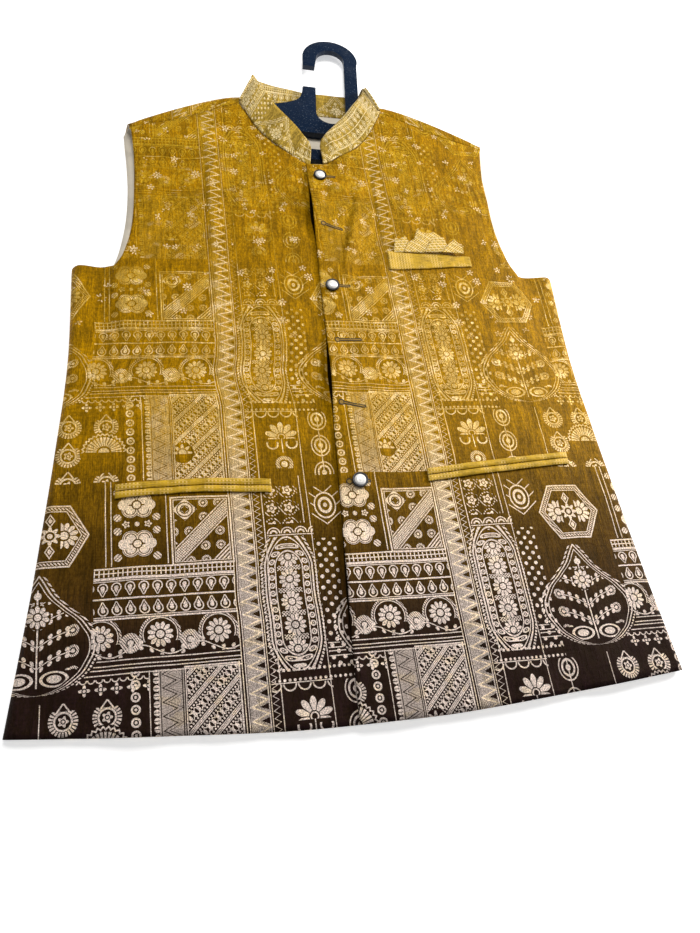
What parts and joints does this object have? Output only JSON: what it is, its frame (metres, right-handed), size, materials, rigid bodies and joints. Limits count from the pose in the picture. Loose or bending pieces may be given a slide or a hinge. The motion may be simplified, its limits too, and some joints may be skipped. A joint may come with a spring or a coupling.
{
  "type": "nehru jacket with coat hanger",
  "caption": "Sleeveless stand-collar jacket in figured brocade, buttoned and laid flat on its back, with the plain plastic coat hanger that holds its shoulders.",
  "frame": {"origin": "bottom centre of the bounding box, on the surface that the jacket's back lies on", "axes": "+X towards the wearer's left side, +Y up the garment from hem to neck and hanger hook, +Z out of the front, away from the surface"},
  "size_m": [0.5692, 0.8426, 0.0325],
  "materials": {
    "brocade": "satin",
    "collar_brocade": "satin",
    "trim_brocade": "satin",
    "lining": "satin",
    "button_metal": "semi-gloss",
    "button_pearl": "glossy",
    "hanger_plastic": "glossy"
  },
  "bodies": {
    "root": {"back": "brocade", "back_lining": "lining", "front_right": "brocade", "front_left": "brocade", "collar": "collar_brocade", "chest_welt": "trim_brocade", "pocket_square": "trim_brocade", "pocket_left_upper_jet": "trim_brocade", "pocket_left_lower_jet": "trim_brocade", "pocket_right_upper_jet": "trim_brocade", "pocket_right_lower_jet": "trim_brocade", "button_1_rim": "button_metal", "button_1_face": "button_pearl", "button_2_rim": "button_metal", "button_2_face": "button_pearl", "button_3_rim": "button_metal", "button_3_face": "button_pearl", "hanger": "hanger_plastic"}
  },
  "joints": []
}
